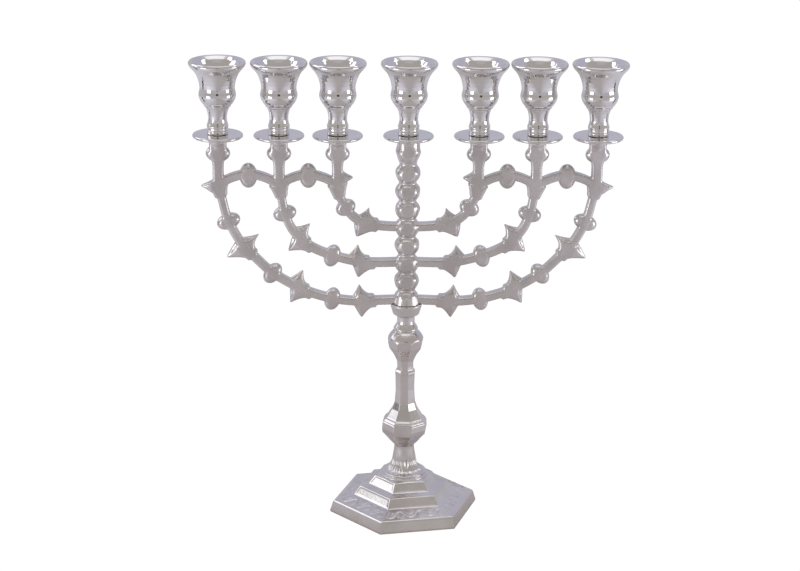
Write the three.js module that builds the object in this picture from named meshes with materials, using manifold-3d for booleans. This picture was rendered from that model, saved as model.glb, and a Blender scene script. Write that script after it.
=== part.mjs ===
// A seven-branched candle holder of nickel-plated brass castings, screwed together.
// Millimetres, +Z up. The origin is on the table under the middle of the base. The branches spread along X.
import * as THREE from "three";
import { mergeVertices } from "three/addons/utils/BufferGeometryUtils.js";
import Module from "manifold-3d";

const wasm = await Module();
wasm.setup();

// ---------------------------------------------------------------- driving dimensions

const HEIGHT = 300; // table to the rims of the cups
const REACHES = [44.4, 81.1, 119.3]; // centre shaft to the posts of the inner, middle and outer branches
const SEAT_GAP = 0.2; // between faces that screws pull together
const RUN_GAP = 0.35; // round a rod or stud in its hole

const BASE_RADIUS = 49.2; // centre to a corner of the six-sided foot
const BASE_HEIGHT = 44.4;
const BASE_WALL = 3.4;
// Heights at the top of each tier of the foot.
const BASE_TIERS = { side: 7.2, plate: 8, border: 10.7, firstRiser: 16.7, ledge: 17.7, secondRiser: 23.3 };
const BASE_ROOF = 1.7; // metal above the washer
const BASE_TURN = THREE.MathUtils.degToRad(10.6); // how the foot is turned against the branches

const STEM_LENGTH = 95.5;
const STEM_TURN = THREE.MathUtils.degToRad(-7);
const STEM_WALL = 2.05; // round the tie rod's hole, at the thinnest neck

const SHAFT_BEADS = 9;
const BEAD_RADIUS = 7.9;
const BEAD_NECK = 5.8;
const SHAFT_FOOT_RADIUS = 9.1; // where the branch casting sits on the stem
const FRAME_DEPTH = 7; // branch casting, front to back
const ARM_WIDTH = 5.6; // in the plane of the branches

const PAN_RADIUS = 15.9;
const PAN_THICKNESS = 2.2;

const CUP_HEIGHT = 47;
const CUP_RIM_RADIUS = 17.9;
const CUP_BORE_RADIUS = 10.2; // holds a 20 mm candle
const CUP_BORE_DEPTH = 27;
const CUP_WALL = 0.7; // round the bore, at the waist
const CUP_FLOOR = 9; // under the bore, above the stud
const CUP_FOOT_RADIUS = 6.65;

const STUD_RADIUS = 2.5; // M5
const STUD_IN_POST = 9;
const STUD_WALL = 2.65; // round the stud, in the boss of a post and the neck of a cup
const SOCKET_WALL = 0.6; // round the stud, deeper in the post
const HOLE_BEYOND = 0.6; // a blind hole past its stud or rod

const ROD_RADIUS = 3; // M6
const ROD_IN_FRAME = 12;
const ROD_FOOT = 5; // table to the rod's lower end

const WASHER_RADIUS = 8;
const WASHER_THICKNESS = 1.6;
const NUT_ACROSS_FLATS = 10;
const NUT_THICKNESS = 5;

const JOINT_RADIUS = ROD_RADIUS + RUN_GAP + STEM_WALL + 1; // base neck and stem foot where they meet
const CUP_SEAT = CUP_HEIGHT - CUP_BORE_DEPTH; // foot of a cup to the floor of its bore
const STUD_IN_CUP = CUP_SEAT - CUP_FLOOR;

// Levels, from the table up.
const NUT_CEILING = BASE_TIERS.ledge - BASE_ROOF; // the roof of the hollow base, where the washer bears
const STEM_BOTTOM = BASE_HEIGHT + SEAT_GAP;
const STEM_TOP = STEM_BOTTOM + STEM_LENGTH;
const FRAME_BOTTOM = STEM_TOP + SEAT_GAP;
const CUP_BOTTOM = HEIGHT - CUP_HEIGHT;
const PAN_BOTTOM = CUP_BOTTOM - SEAT_GAP - PAN_THICKNESS;
const POST_TOP = PAN_BOTTOM - SEAT_GAP;
const SHAFT_LENGTH = POST_TOP - FRAME_BOTTOM;
const BEAD_PITCH = SHAFT_LENGTH / (SHAFT_BEADS + 0.29);
const JUNCTION = POST_TOP - 30.1; // where the branches turn up into their posts
const POST_PLACES = [...REACHES.map((reach) => -reach).reverse(), 0, ...REACHES];

// Fineness of the facets.
const ROUND = 16;
const SCREW_SIDES = 12;

// ---------------------------------------------------------------- materials

function metal(color, roughness) {
  return new THREE.MeshStandardMaterial({ color, roughness, metalness: 1 });
}

const POLISHED_NICKEL = [0xd3cfcd, 0.08];
const SATIN_NICKEL = [0xb4aeaa, 0.28];
const PLAIN_BRASS = [0xb89a5a, 0.4];
const ZINC_STEEL = [0xa8abb0, 0.35];

// ---------------------------------------------------------------- shaping tools

// A closed geometry as a solid that can be joined and cut.
function solid(geometry) {
  const bare = new THREE.BufferGeometry();
  bare.setAttribute("position", geometry.getAttribute("position"));
  bare.setIndex(geometry.getIndex());
  const merged = mergeVertices(bare, 1e-4);
  return new wasm.Manifold(
    new wasm.Mesh({
      numProp: 3,
      vertProperties: new Float32Array(merged.getAttribute("position").array),
      triVerts: new Uint32Array(merged.getIndex().array),
    }),
  );
}

// A solid as a geometry, with flat facets.
function geometryOf(shape) {
  const made = shape.getMesh();
  const geometry = new THREE.BufferGeometry();
  geometry.setAttribute("position", new THREE.BufferAttribute(new Float32Array(made.vertProperties), 3));
  geometry.setIndex(new THREE.BufferAttribute(new Uint32Array(made.triVerts), 1));
  const faceted = geometry.toNonIndexed();
  faceted.computeVertexNormals();
  return faceted;
}

// Turns [radius, height] pairs about Z. The pairs run up the outside, from the axis to the axis, or close on
// themselves for a ring. With few sides it makes a prism or pyramid whose corners are at the radii.
function turned(profile, sides = ROUND, turn = 0) {
  const points = profile.map(([radius, height]) => new THREE.Vector2(radius, height));
  const geometry = new THREE.LatheGeometry(points, sides, Math.PI / 2);
  return geometry.rotateX(Math.PI / 2).rotateZ(turn);
}

// A ring or tube: the outside going up, then the inside coming down, closed on its first point.
function ring(profile, sides = ROUND) {
  return turned([...profile, profile[0]], sides);
}

// A round hole's tool, with its facets clear of a rod of the given radius that turns inside it.
function drill(radius, low, high, sides = SCREW_SIDES) {
  const reach = radius / Math.cos(Math.PI / sides);
  return solid(turned([[0, low], [reach, low], [reach, high], [0, high]], sides));
}

function rodShape(radius, low, high, chamfer) {
  return turned(
    [
      [0, low],
      [radius - chamfer, low],
      [radius, low + chamfer],
      [radius, high - chamfer],
      [radius - chamfer, high],
      [0, high],
    ],
    SCREW_SIDES,
  );
}

// Carries a bevelled flat section along a path in the XZ plane. Each station has a centre, a unit tangent and
// a half-width in the plane.
function flatSweep(stations, depth, bevel) {
  const positions = [];
  const index = [];
  const halfDepth = depth / 2;
  for (const { centre, tangent, halfWidth } of stations) {
    const across = new THREE.Vector3(-tangent.z, 0, tangent.x);
    const cut = Math.min(bevel, halfWidth * 0.5);
    const section = [
      [halfWidth, -halfDepth + bevel],
      [halfWidth, halfDepth - bevel],
      [halfWidth - cut, halfDepth],
      [-halfWidth + cut, halfDepth],
      [-halfWidth, halfDepth - bevel],
      [-halfWidth, -halfDepth + bevel],
      [-halfWidth + cut, -halfDepth],
      [halfWidth - cut, -halfDepth],
    ];
    for (const [side, y] of section) {
      positions.push(centre.x + across.x * side, y, centre.z + across.z * side);
    }
  }
  const sides = 8;
  const last = (stations.length - 1) * sides;
  for (let row = 0; row < last; row += sides) {
    for (let i = 0; i < sides; i++) {
      const next = (i + 1) % sides;
      index.push(row + i, row + sides + i, row + next);
      index.push(row + next, row + sides + i, row + sides + next);
    }
  }
  for (let i = 1; i < sides - 1; i++) {
    index.push(0, i, i + 1);
    index.push(last, last + i + 1, last + i);
  }
  const geometry = new THREE.BufferGeometry();
  geometry.setAttribute("position", new THREE.Float32BufferAttribute(positions, 3));
  geometry.setIndex(index);
  return geometry;
}

// ---------------------------------------------------------------- base

// The six-sided tiers keep their heights, and the flare stretches from the upper tier to the neck.
function baseShape() {
  const tiers = BASE_TIERS;
  const plate = [
    [0, 0],
    [BASE_RADIUS, 0],
    [BASE_RADIUS, 1],
    [BASE_RADIUS - 2, tiers.side],
    [BASE_RADIUS - 2.9, tiers.plate],
    [BASE_RADIUS - 15.7, tiers.border],
    [BASE_RADIUS - 19.9, tiers.firstRiser],
    [BASE_RADIUS - 25.7, tiers.ledge],
    [BASE_RADIUS - 30.2, tiers.secondRiser],
    [0, tiers.secondRiser + 0.6],
  ];
  const ringTop = tiers.secondRiser + 5.3;
  const rise = (share) => ringTop + share * (BASE_HEIGHT - ringTop);
  const flare = [
    [0, tiers.secondRiser - 1.3],
    [15.6, tiers.secondRiser - 1.3],
    [15.6, tiers.secondRiser + 1.4],
    [14.1, tiers.secondRiser + 2.1],
    [14.6, tiers.secondRiser + 3.2],
    [14.1, tiers.secondRiser + 4.5],
    [JOINT_RADIUS + 6.4, ringTop],
    [JOINT_RADIUS + 6, rise(0.09)],
    [JOINT_RADIUS + 3.9, rise(0.22)],
    [JOINT_RADIUS + 2.4, rise(0.37)],
    [JOINT_RADIUS + 1.2, rise(0.57)],
    [JOINT_RADIUS + 0.4, rise(0.77)],
    [JOINT_RADIUS, rise(0.91)],
    [JOINT_RADIUS, BASE_HEIGHT],
    [0, BASE_HEIGHT],
  ];
  const inside = BASE_RADIUS - BASE_WALL;
  const hollow = [
    [0, -1],
    [inside, -1],
    [inside, 1],
    [inside - 1.6, tiers.side - 2.6],
    [inside - 14.5, tiers.border - BASE_WALL],
    [inside - 18.7, tiers.firstRiser - BASE_WALL],
    [inside - 24.5, NUT_CEILING],
    [0, NUT_CEILING],
  ];
  return solid(turned(plate, 6))
    .add(solid(turned(flare, 18)))
    .subtract(solid(turned(hollow, 6)))
    .subtract(drill(ROD_RADIUS + RUN_GAP, 0, BASE_HEIGHT + 1));
}

// ---------------------------------------------------------------- stem

// The casting is what lies inside both a turned outline and an eight-sided one. The lower knob is measured up
// from the foot and the upper knob and collar down from the top, so that the column between them stretches.
function stemShape() {
  const neck = ROD_RADIUS + RUN_GAP + STEM_WALL;
  const down = (distance) => STEM_LENGTH - distance;
  const turnedOutline = [
    [0, 0],
    [JOINT_RADIUS, 0],
    [JOINT_RADIUS + 2, 1.9],
    [18, 12],
    [18, down(35.5)],
    [11.8, down(23.4)],
    [10.9, down(20.9)],
    [9.3, down(18.1)],
    [7.6, down(15.1)],
    [7.1, down(13.9)],
    [neck + 1.1, down(12.7)],
    [neck + 0.2, down(9.9)],
    [neck + 0.7, down(7.3)],
    [8.5, down(4.8)],
    [10.2, down(2.9)],
    [10, down(1)],
    [9.4, STEM_LENGTH],
    [0, STEM_LENGTH],
  ];
  const cutOutline = [
    [0, -1],
    [JOINT_RADIUS + 1.6, -1],
    [JOINT_RADIUS + 2.2, 1.9],
    [12.3, 6.6],
    [14.9, 9.4],
    [15.3, 12],
    [14.9, 16.6],
    [12.6, 18.8],
    [11.8, 19.2],
    [8.4, 25.1],
    [neck + 1.5, 29.5],
    [neck + 0.9, (29.5 + down(46.9)) / 2],
    [neck + 1.2, down(46.9)],
    [neck + 1.4, down(45)],
    [neck + 0.2, down(43.5)],
    [neck, down(41)],
    [neck + 0.3, down(37.3)],
    [7.9, down(32.6)],
    [11, down(28.1)],
    [12, down(23.4)],
    [14, down(15.5)],
    [14, STEM_LENGTH + 1],
    [0, STEM_LENGTH + 1],
  ];
  return solid(turned(turnedOutline))
    .intersect(solid(turned(cutOutline, 8, Math.PI / 8)))
    .subtract(drill(ROD_RADIUS + RUN_GAP, -1, STEM_LENGTH + 1));
}

// ---------------------------------------------------------------- branch frame

// The centre shaft is a string of beads, each widest above its middle. Its foot is a plain boss.
function shaftShape() {
  const outline = [[0, 0], [SHAFT_FOOT_RADIUS, 0]];
  for (let bead = 0; bead < SHAFT_BEADS; bead++) {
    const middle = (bead + 0.37) * BEAD_PITCH;
    if (bead > 0) outline.push([BEAD_NECK, middle - 0.5 * BEAD_PITCH]);
    if (bead > 0) outline.push([BEAD_RADIUS - 0.9, middle - 0.22 * BEAD_PITCH]);
    outline.push([BEAD_RADIUS, middle + 0.02 * BEAD_PITCH]);
    outline.push([BEAD_RADIUS - 0.5, middle + 0.25 * BEAD_PITCH]);
  }
  outline.push([BEAD_NECK + 1.2, SHAFT_LENGTH], [0, SHAFT_LENGTH]);
  return solid(turned(outline).translate(0, 0, FRAME_BOTTOM));
}

// A branch's centreline, as shares of its reach and of the rise from its root to the junction, and where the
// bells and lobes sit along it, as shares of its length up to the junction. Roots count beads above the foot.
const BRANCHES = [
  {
    reach: REACHES[0],
    rootBead: 4.45,
    tipLift: 6,
    outline: [[0, 0], [0.2, 0], [0.41, 0.045], [0.63, 0.12], [0.78, 0.28], [0.88, 0.49], [0.965, 0.75],
      [1, 1]],
    bells: [{ at: 0.479, span: 10.3 }],
    lobes: [{ at: 0.751, span: 6.4 }],
  },
  {
    reach: REACHES[1],
    rootBead: 2.45,
    tipLift: 0,
    outline: [[0, 0], [0.24, 0.004], [0.37, 0.02], [0.58, 0.1], [0.735, 0.205], [0.83, 0.325], [0.9, 0.46],
      [0.956, 0.65], [0.985, 0.86], [1, 1]],
    bells: [{ at: 0.274, span: 11.2 }, { at: 0.655, span: 11 }],
    lobes: [{ at: 0.441, span: 7.4 }, { at: 0.834, span: 7.4 }],
  },
  {
    reach: REACHES[2],
    rootBead: 0.32,
    tipLift: 0,
    outline: [[0, 0], [0.17, 0], [0.27, 0.001], [0.39, 0.024], [0.52, 0.084], [0.61, 0.153], [0.72, 0.262],
      [0.8, 0.382], [0.867, 0.483], [0.948, 0.7], [0.981, 0.87], [1, 1]],
    bells: [{ at: 0.179, span: 11.4 }, { at: 0.453, span: 11 }, { at: 0.725, span: 12.3 }],
    lobes: [{ at: 0.299, span: 7.6 }, { at: 0.573, span: 7.3 }, { at: 0.85, span: 7.6 }],
  },
];
// Back from the tips to the collar and the flare, and on to the mouth.
const BELL_LENGTH = { collar: 9, flare: 5, mouth: 3.8 };
const BELL_COLLAR = 4.4; // half-width
const LOBE_LENGTH = 4.8; // half of it, along the arm
const POST_LOBE_BELOW = 9.5; // top of a post down to its lobe
const LINK_CROWN = 6.6; // junction up to the middle of a linking arc

// Distances along an arm with the half-width there, for a bell whose tips are at a distance.
function bellStations(tips, span) {
  return [
    [tips - BELL_LENGTH.collar - 0.6, ARM_WIDTH / 2],
    [tips - BELL_LENGTH.collar, BELL_COLLAR],
    [tips - BELL_LENGTH.flare, BELL_COLLAR + 0.2],
    [tips - 2, span * 0.66],
    [tips, span],
    [tips + BELL_LENGTH.mouth * 0.6, span * 0.5],
    [tips + BELL_LENGTH.mouth, ARM_WIDTH / 2],
  ];
}

function lobeStations(middle, span, length = LOBE_LENGTH) {
  return [-1, -0.7, 0, 0.7, 1].map((share) => {
    const bulge = Math.sqrt(1 - share * share);
    return [middle + share * length, Math.max(ARM_WIDTH / 2, span * bulge)];
  });
}

// Fills in plain stations wherever the widths leave a long stretch of a bending arm.
function withPlainStations(widths, length, step) {
  const all = [[0, ARM_WIDTH / 2], ...widths, [length, ARM_WIDTH / 2]];
  const filled = [all[0]];
  for (let i = 1; i < all.length; i++) {
    const [from, halfFrom] = filled[filled.length - 1];
    const [to, halfTo] = all[i];
    const pieces = Math.ceil((to - from) / step);
    for (let k = 1; k <= pieces; k++) {
      const share = k / pieces;
      filled.push([from + (to - from) * share, halfFrom + (halfTo - halfFrom) * share]);
    }
  }
  return filled;
}

function stationsAlong(curve, widths, length) {
  return widths.map(([distance, halfWidth]) => {
    const share = THREE.MathUtils.clamp(distance / length, 0, 1);
    return { centre: curve.getPointAt(share), tangent: curve.getTangentAt(share), halfWidth };
  });
}

function rootHeight(branch) {
  return FRAME_BOTTOM + branch.rootBead * BEAD_PITCH;
}

// One arm from the shaft to the top of its post, on the side given by side, 1 or -1.
function armShape(branch, side) {
  const root = rootHeight(branch);
  const rise = JUNCTION - root;
  const points = branch.outline.map(
    ([out, up]) => new THREE.Vector3(side * out * branch.reach, 0, root + up * rise),
  );
  const curve = new THREE.CatmullRomCurve3(points, false, "centripetal");
  const length = curve.getLength();
  const features = [
    ...branch.bells.map(({ at, span }) => ({ at, list: bellStations(at * length, span) })),
    ...branch.lobes.map(({ at, span }) => ({ at, list: lobeStations(at * length, span) })),
  ].sort((a, b) => a.at - b.at);
  const end = [
    [length - 10.6, ARM_WIDTH / 2],
    [length - 10, BELL_COLLAR],
    [length - 6, BELL_COLLAR + 0.2],
    [length - 0.5, BELL_COLLAR + 2],
  ];
  const widths = withPlainStations([...features.flatMap((feature) => feature.list), ...end], length, 9);
  return solid(flatSweep(stationsAlong(curve, widths, length), FRAME_DEPTH, 1.5));
}

// The upright above the junction: a bell whose mouth holds the linking arcs, a lobe, and a round boss.
function postShape(branch, side) {
  const x = side * branch.reach;
  const up = new THREE.Vector3(0, 0, 1);
  const tips = JUNCTION + branch.tipLift;
  const widths = [
    [JUNCTION - BELL_LENGTH.flare, ARM_WIDTH / 2],
    [tips - 2, 6.3],
    [tips, 9.6],
    [tips + BELL_LENGTH.mouth, ARM_WIDTH / 2],
    ...lobeStations(POST_TOP - POST_LOBE_BELOW, 7.4, 5.4),
    [POST_TOP - 1, ARM_WIDTH / 2],
  ];
  const stations = widths.map(([z, halfWidth]) => ({
    centre: new THREE.Vector3(x, 0, z),
    tangent: up,
    halfWidth,
  }));
  const wide = STUD_RADIUS + RUN_GAP + STUD_WALL;
  const socket = STUD_RADIUS + RUN_GAP + SOCKET_WALL;
  const socketFoot = POST_TOP - STUD_IN_POST - 2;
  const boss = [
    [0, socketFoot],
    [socket, socketFoot],
    [socket, POST_TOP - 6],
    [wide - 1.5, POST_TOP - 6],
    [wide, POST_TOP - 3],
    [wide, POST_TOP],
    [0, POST_TOP],
  ];
  return solid(flatSweep(stations, FRAME_DEPTH, 1.2)).add(solid(turned(boss, 16).translate(x, 0, 0)));
}

// The arc that links two neighbouring posts at the junction, with a lobe on its crown.
function linkShape(from, to) {
  const middle = (from + to) / 2;
  const shoulder = LINK_CROWN * 0.7;
  const heights = [
    [from, 0],
    [(from + middle) / 2, shoulder],
    [middle, LINK_CROWN],
    [(middle + to) / 2, shoulder],
    [to, 0],
  ];
  const curve = new THREE.CatmullRomCurve3(heights.map(([x, up]) => new THREE.Vector3(x, 0, JUNCTION + up)));
  const length = curve.getLength();
  const widths = withPlainStations(lobeStations(length / 2, 7.9, 5.6), length, 7);
  return solid(flatSweep(stationsAlong(curve, widths, length), FRAME_DEPTH, 1.4));
}

function frameShape() {
  let shape = shaftShape();
  for (const side of [-1, 1]) {
    for (const branch of BRANCHES) {
      shape = shape.add(armShape(branch, side)).add(postShape(branch, side));
    }
    for (let i = 1; i < REACHES.length; i++) {
      const ends = [REACHES[i - 1] * side, REACHES[i] * side];
      shape = shape.add(linkShape(Math.min(...ends), Math.max(...ends)));
    }
  }
  for (const x of POST_PLACES) {
    shape = shape.subtract(
      drill(STUD_RADIUS + RUN_GAP, POST_TOP - STUD_IN_POST - HOLE_BEYOND, POST_TOP + 1).translate([x, 0, 0]),
    );
  }
  const rodHole = FRAME_BOTTOM + ROD_IN_FRAME + HOLE_BEYOND;
  return shape.subtract(drill(ROD_RADIUS + RUN_GAP, FRAME_BOTTOM - 1, rodHole));
}

// ---------------------------------------------------------------- pans, cups and screws

function panShape() {
  const bore = (STUD_RADIUS + RUN_GAP) / Math.cos(Math.PI / 24);
  const round = 0.6;
  return ring(
    [
      [bore, 0],
      [PAN_RADIUS - round, 0],
      [PAN_RADIUS, round],
      [PAN_RADIUS, PAN_THICKNESS - round],
      [PAN_RADIUS - round, PAN_THICKNESS],
      [bore, PAN_THICKNESS],
    ],
    24,
  );
}

// The outside goes up to the rim and the inside comes down to the candle's seat, whose floor is coned.
function cupShape() {
  const bore = CUP_BORE_RADIUS / Math.cos(Math.PI / ROUND);
  const waist = CUP_BORE_RADIUS + CUP_WALL;
  const neck = STUD_RADIUS + RUN_GAP + STUD_WALL;
  const outline = [
    [0, 0],
    [CUP_FOOT_RADIUS, 0],
    [CUP_FOOT_RADIUS, CUP_SEAT * 0.21],
    [CUP_FOOT_RADIUS + 0.3, CUP_SEAT * 0.25],
    [neck + 0.3, CUP_SEAT * 0.47],
    [neck + 0.6, CUP_SEAT * 0.67],
    [neck + 1.7, CUP_SEAT * 0.82],
    [neck + 2.9, CUP_SEAT * 0.89],
    [waist - 0.5, CUP_SEAT + 0.4],
    [waist + 0.6, CUP_SEAT + 4.6],
    [waist, CUP_SEAT + 10],
    [waist + 0.8, CUP_SEAT + 15.2],
    [waist + 3, CUP_HEIGHT - 7.2],
    [CUP_RIM_RADIUS, CUP_HEIGHT - 5],
    [CUP_RIM_RADIUS, CUP_HEIGHT - 2],
    [CUP_RIM_RADIUS - 1.6, CUP_HEIGHT],
    [bore + 1.8, CUP_HEIGHT - 4.6],
    [bore, CUP_HEIGHT - 9],
    [bore, CUP_SEAT + 4.6],
    [bore * 0.67, CUP_SEAT],
    [0, CUP_SEAT],
  ];
  return solid(turned(outline)).subtract(drill(STUD_RADIUS + RUN_GAP, -1, STUD_IN_CUP + HOLE_BEYOND));
}

function nutShape() {
  const corner = NUT_ACROSS_FLATS / Math.sqrt(3);
  const hole = drill(ROD_RADIUS + RUN_GAP, -1, NUT_THICKNESS + 1);
  const body = turned([[0, 0], [corner, 0], [corner, NUT_THICKNESS], [0, NUT_THICKNESS]], 6);
  return solid(body).subtract(hole);
}

function washerShape() {
  const hole = drill(ROD_RADIUS + RUN_GAP, -1, WASHER_THICKNESS + 1, 24);
  const outline = [[0, 0], [WASHER_RADIUS, 0], [WASHER_RADIUS, WASHER_THICKNESS], [0, WASHER_THICKNESS]];
  const body = turned(outline, 24);
  return solid(body).subtract(hole);
}

// ---------------------------------------------------------------- assembly

const menorah = new THREE.Group();

function place(name, shape, finish, { z = 0, x = 0, turn = 0 } = {}) {
  const geometry = shape.isBufferGeometry ? shape : geometryOf(shape);
  const mesh = new THREE.Mesh(geometry, metal(...finish));
  mesh.name = name;
  mesh.position.set(x, 0, z);
  mesh.rotation.z = turn;
  menorah.add(mesh);
}

place("base", baseShape(), SATIN_NICKEL, { turn: BASE_TURN });
place("stem", stemShape(), SATIN_NICKEL, { z: STEM_BOTTOM, turn: STEM_TURN });
place("branch_frame", frameShape(), SATIN_NICKEL);

POST_PLACES.forEach((x, i) => {
  const number = i + 1;
  place(`drip_pan_${number}`, panShape(), POLISHED_NICKEL, { x, z: PAN_BOTTOM });
  place(`candle_cup_${number}`, cupShape(), POLISHED_NICKEL, { x, z: CUP_BOTTOM });
  const stud = rodShape(STUD_RADIUS, POST_TOP - STUD_IN_POST, CUP_BOTTOM + STUD_IN_CUP, 0.5);
  place(`cup_stud_${number}`, stud, PLAIN_BRASS, { x });
});

place("tie_rod", rodShape(ROD_RADIUS, ROD_FOOT, FRAME_BOTTOM + ROD_IN_FRAME, 0.6), ZINC_STEEL);
const WASHER_BOTTOM = NUT_CEILING - SEAT_GAP - WASHER_THICKNESS;
place("base_washer", washerShape(), ZINC_STEEL, { z: WASHER_BOTTOM });
place("base_nut", nutShape(), ZINC_STEEL, { z: WASHER_BOTTOM - SEAT_GAP - NUT_THICKNESS });

export default menorah;
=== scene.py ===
"""A seven-branched candle holder of nickel-plated brass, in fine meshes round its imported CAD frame."""
import math

import bpy
import numpy as np
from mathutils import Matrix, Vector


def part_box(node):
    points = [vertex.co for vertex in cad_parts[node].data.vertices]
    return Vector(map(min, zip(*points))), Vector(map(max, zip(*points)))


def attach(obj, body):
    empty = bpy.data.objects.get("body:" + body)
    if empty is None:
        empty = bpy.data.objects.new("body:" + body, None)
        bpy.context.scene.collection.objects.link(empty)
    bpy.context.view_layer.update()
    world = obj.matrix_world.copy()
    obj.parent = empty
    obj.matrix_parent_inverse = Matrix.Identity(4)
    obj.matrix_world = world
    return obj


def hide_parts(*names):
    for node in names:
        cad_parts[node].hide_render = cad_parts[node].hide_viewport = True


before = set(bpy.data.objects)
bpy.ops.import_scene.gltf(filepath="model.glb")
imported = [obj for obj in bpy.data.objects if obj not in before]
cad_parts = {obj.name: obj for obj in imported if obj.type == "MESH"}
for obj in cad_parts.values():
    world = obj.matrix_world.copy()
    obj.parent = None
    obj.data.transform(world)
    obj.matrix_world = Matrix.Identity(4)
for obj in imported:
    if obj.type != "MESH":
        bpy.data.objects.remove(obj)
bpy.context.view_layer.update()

import openvdb
from mathutils import Matrix, Vector

MM = 0.001  # shapes are worked out in millimetres and made in metres
TAU = 2 * math.pi


# ------------------------------------------------------------------ sizes, from the frame


def span(node):
    """A CAD node's lowest and highest corners, in millimetres."""
    low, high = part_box(node)
    return np.array(low) / MM, np.array(high) / MM


def middle_x(node):
    low, high = span(node)
    return float(low[0] + high[0]) / 2


CUPS = range(1, 8)
CENTRE_CUP = 4
POSTS = {i: middle_x(f"cup_stud_{i}") for i in CUPS}
REACHES = [POSTS[i] for i in CUPS if i > CENTRE_CUP]

BASE_HEIGHT = float(span("base")[1][2])
BASE_TURN = math.radians(10.6)
BASE_RADIUS = 49.2  # centre to a corner
BASE_WALL = 3.4
PLATE_TOP = 8
BORDER_RISE = 2.9  # from the plate's edge in to the lower riser
BORDER_WIDTH = 12.5
LOW_RISER = (10.9, 16.7)
HIGH_RISER = (17.8, 23.3)
FLARE_FOOT = 28.6
CEILING = 16  # of the hollow inside
PANEL_DEPTH = 0.2
LEAF_CUT_DEPTH = 0.7

STEM_LOW, STEM_HIGH = (float(corner[2]) for corner in span("stem"))
STEM_LENGTH = STEM_HIGH - STEM_LOW
STEM_TURN = math.radians(-7)

SEAT_GAP = 0.2  # between faces that the screws pull together
FRAME_LOW = STEM_HIGH + SEAT_GAP  # the shaft's foot; the lowest bells hang below it
POST_TOP = float(span("branch_frame")[1][2])
SHAFT_LENGTH = POST_TOP - FRAME_LOW
SHAFT_BEADS = 9
BEAD_PITCH = SHAFT_LENGTH / (SHAFT_BEADS + 0.29)
BEAD_RADIUS = 7.9
BEAD_NECK = 5.5
BEAD_FLAT = 6.85  # centre to the flats ground on the front and back of the beads
SHAFT_FOOT_RADIUS = 9.1
SEAM_RISE = 1.6  # the joint under the shaft is drawn this far above the CAD's
JUNCTION = POST_TOP - 30.1  # where a branch turns up into its post

FRAME_DEPTH = 7
ARM_HALF_WIDTH = 2.7
POST_HALF_WIDTH = 3.4
EDGE_ROUND = 1.5  # on the branches' long edges

CUP_BOTTOM = float(span("candle_cup_4")[0][2])
CUP_RIM_RADIUS = 17.9
CUP_BORE_RADIUS = 10.2
CUP_FOOT_RADIUS = 6.65
CUP_SEAT = 20
PAN_BOTTOM, PAN_TOP = (float(corner[2]) for corner in span("drip_pan_4"))
PAN_RADIUS = 15.9

STUD_RADIUS = 2.5
STUD_PITCH = 0.8
ROD_RADIUS = 3.0
ROD_PITCH = 1.0
HOLE_GAP = 0.35  # round a stud or rod
ROD_HOLE = ROD_RADIUS + HOLE_GAP
ROD_HOLE_DEPTH = 12.6  # up into the shaft
STUD_HOLE = STUD_RADIUS + HOLE_GAP
POST_HOLE_DEPTH = 9.6
CUP_HOLE_DEPTH = 11.6
WASHER_RADIUS = 8
NUT_HALF_FLATS = 5.0


# ------------------------------------------------------------------ shaping tools


def fine(outline, step):
    """Points along straight stretches, no further apart than step."""
    points = [outline[0]]
    for start, end in zip(outline[:-1], outline[1:]):
        pieces = max(1, math.ceil(math.dist(start, end) / step))
        for k in range(1, pieces + 1):
            share = k / pieces
            points.append(tuple(a + (b - a) * share for a, b in zip(start, end)))
    return points


def eased(outline, step=0.35, passes=3):
    """An outline with its corners eased, by averaging neighbours a few times. Its ends stay."""
    points = np.array(fine(outline, step))
    for _ in range(passes):
        points[1:-1] = (points[:-2] + 2 * points[1:-1] + points[2:]) / 4
    return points


def catmull(points, steps):
    """A centripetal Catmull-Rom curve through the points."""
    p = np.array(points, float)
    p = np.vstack([2 * p[0] - p[1], p, 2 * p[-1] - p[-2]])
    made = []
    for a, b, c, d in zip(p[:-3], p[1:-2], p[2:-1], p[3:]):
        before, here, after = (math.sqrt(math.dist(u, v)) for u, v in ((a, b), (b, c), (c, d)))
        start = ((b - a) / before - (c - a) / (before + here) + (c - b) / here) * here
        end = ((c - b) / here - (d - b) / (here + after) + (d - c) / after) * here
        for t in np.arange(steps) / steps:
            made.append(
                b + start * t + (3 * (c - b) - 2 * start - end) * t**2 + (start + end - 2 * (c - b)) * t**3
            )
    made.append(p[-2])
    return np.array(made)


def soft_min(a, b, radius):
    """The lower of two values, with the crease between them rounded."""
    h = np.clip(0.5 + 0.5 * (b - a) / radius, 0, 1)
    return b + (a - b) * h - radius * h * (1 - h)


def smooth_step(low, high, value):
    t = np.clip((value - low) / (high - low), 0, 1)
    return t * t * (3 - 2 * t)


def object_from(name, points, faces):
    """A mesh object from points in millimetres, smooth but for its sharp creases."""
    mesh = bpy.data.meshes.new(name)
    mesh.from_pydata((np.asarray(points) * MM).tolist(), [], faces)
    mesh.validate()
    mesh.shade_smooth()
    mesh.set_sharp_from_angle(angle=math.radians(48))
    made = bpy.data.objects.new(name, mesh)
    bpy.context.scene.collection.objects.link(made)
    return made


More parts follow.
